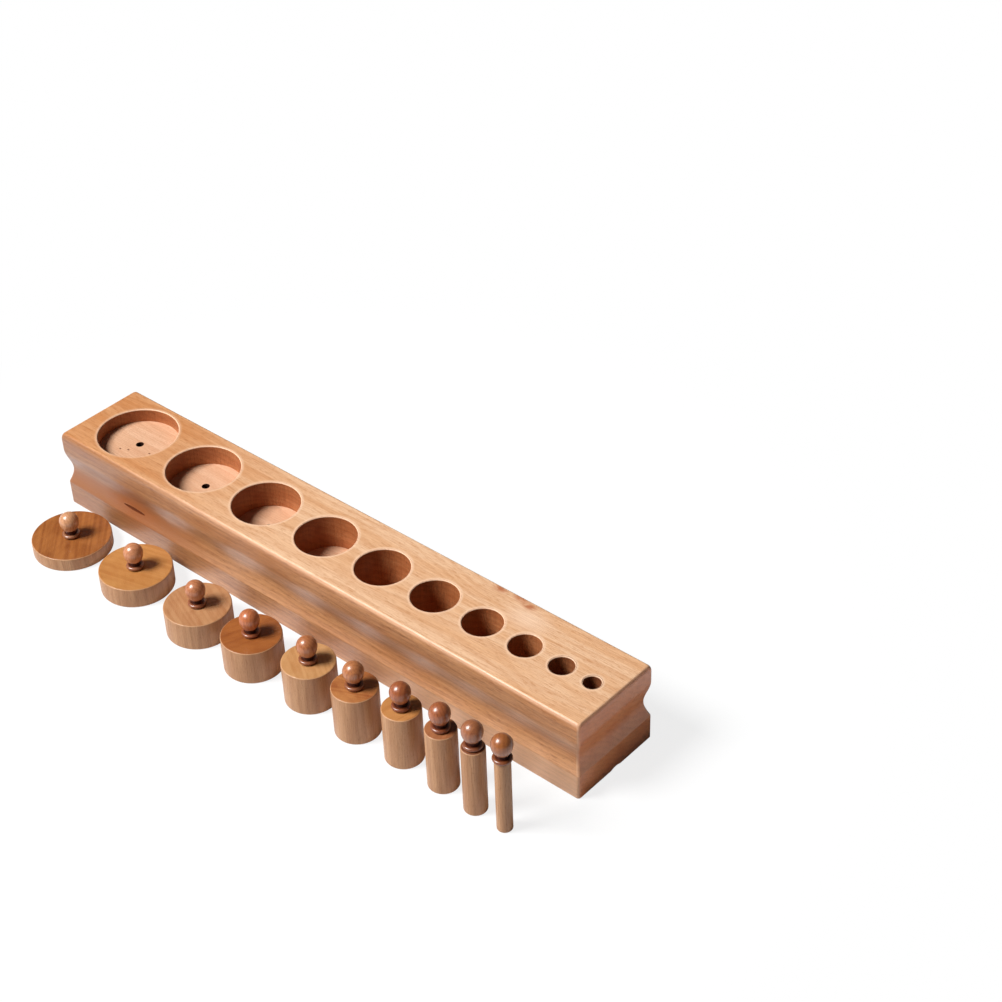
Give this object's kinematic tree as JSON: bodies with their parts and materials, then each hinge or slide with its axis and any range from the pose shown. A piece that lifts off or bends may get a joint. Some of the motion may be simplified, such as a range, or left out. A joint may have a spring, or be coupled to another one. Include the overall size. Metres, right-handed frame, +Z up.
{
  "type": "knobbed cylinder block",
  "caption": "Long moulded beech block with a row of round sockets that get narrower and deeper, and a knobbed wooden cylinder standing in front for each socket.",
  "frame": {"origin": "on the table, in the middle of the whole set's footprint: the block lies behind it and the row of cylinders stands in front of it", "axes": "+X along the block from its widest and shallowest socket to its narrowest and deepest one, +Y from the cylinders towards the block's back, +Z up"},
  "size_m": [0.4646, 0.1306, 0.0738],
  "materials": {
    "block_beech": "satin varnish over straight-grained beech",
    "cylinder_beech": "satin varnish over turned beech, darker on the end grain",
    "knob_beech": "glossier varnish over stained beech"
  },
  "bodies": {
    "block": {"block": "block_beech"},
    "cylinder_01": {"cylinder_01_body": "cylinder_beech", "cylinder_01_knob": "knob_beech"},
    "cylinder_02": {"cylinder_02_body": "cylinder_beech", "cylinder_02_knob": "knob_beech"},
    "cylinder_03": {"cylinder_03_body": "cylinder_beech", "cylinder_03_knob": "knob_beech"},
    "cylinder_04": {"cylinder_04_body": "cylinder_beech", "cylinder_04_knob": "knob_beech"},
    "cylinder_05": {"cylinder_05_body": "cylinder_beech", "cylinder_05_knob": "knob_beech"},
    "cylinder_06": {"cylinder_06_body": "cylinder_beech", "cylinder_06_knob": "knob_beech"},
    "cylinder_07": {"cylinder_07_body": "cylinder_beech", "cylinder_07_knob": "knob_beech"},
    "cylinder_08": {"cylinder_08_body": "cylinder_beech", "cylinder_08_knob": "knob_beech"},
    "cylinder_09": {"cylinder_09_body": "cylinder_beech", "cylinder_09_knob": "knob_beech"},
    "cylinder_10": {"cylinder_10_body": "cylinder_beech", "cylinder_10_knob": "knob_beech"}
  },
  "joints": [
    {"name": "cylinder_01_lift", "type": "slide", "parent": "block", "child": "cylinder_01", "axis": [0, 0, 1], "range_m": [0, 0.065]},
    {"name": "cylinder_02_lift", "type": "slide", "parent": "block", "child": "cylinder_02", "axis": [0, 0, 1], "range_m": [0, 0.065]},
    {"name": "cylinder_03_lift", "type": "slide", "parent": "block", "child": "cylinder_03", "axis": [0, 0, 1], "range_m": [0, 0.065]},
    {"name": "cylinder_04_lift", "type": "slide", "parent": "block", "child": "cylinder_04", "axis": [0, 0, 1], "range_m": [0, 0.065]},
    {"name": "cylinder_05_lift", "type": "slide", "parent": "block", "child": "cylinder_05", "axis": [0, 0, 1], "range_m": [0, 0.065]},
    {"name": "cylinder_06_lift", "type": "slide", "parent": "block", "child": "cylinder_06", "axis": [0, 0, 1], "range_m": [0, 0.065]},
    {"name": "cylinder_07_lift", "type": "slide", "parent": "block", "child": "cylinder_07", "axis": [0, 0, 1], "range_m": [0, 0.065]},
    {"name": "cylinder_08_lift", "type": "slide", "parent": "block", "child": "cylinder_08", "axis": [0, 0, 1], "range_m": [0, 0.065]},
    {"name": "cylinder_09_lift", "type": "slide", "parent": "block", "child": "cylinder_09", "axis": [0, 0, 1], "range_m": [0, 0.065]},
    {"name": "cylinder_10_lift", "type": "slide", "parent": "block", "child": "cylinder_10", "axis": [0, 0, 1], "range_m": [0, 0.065]}
  ]
}
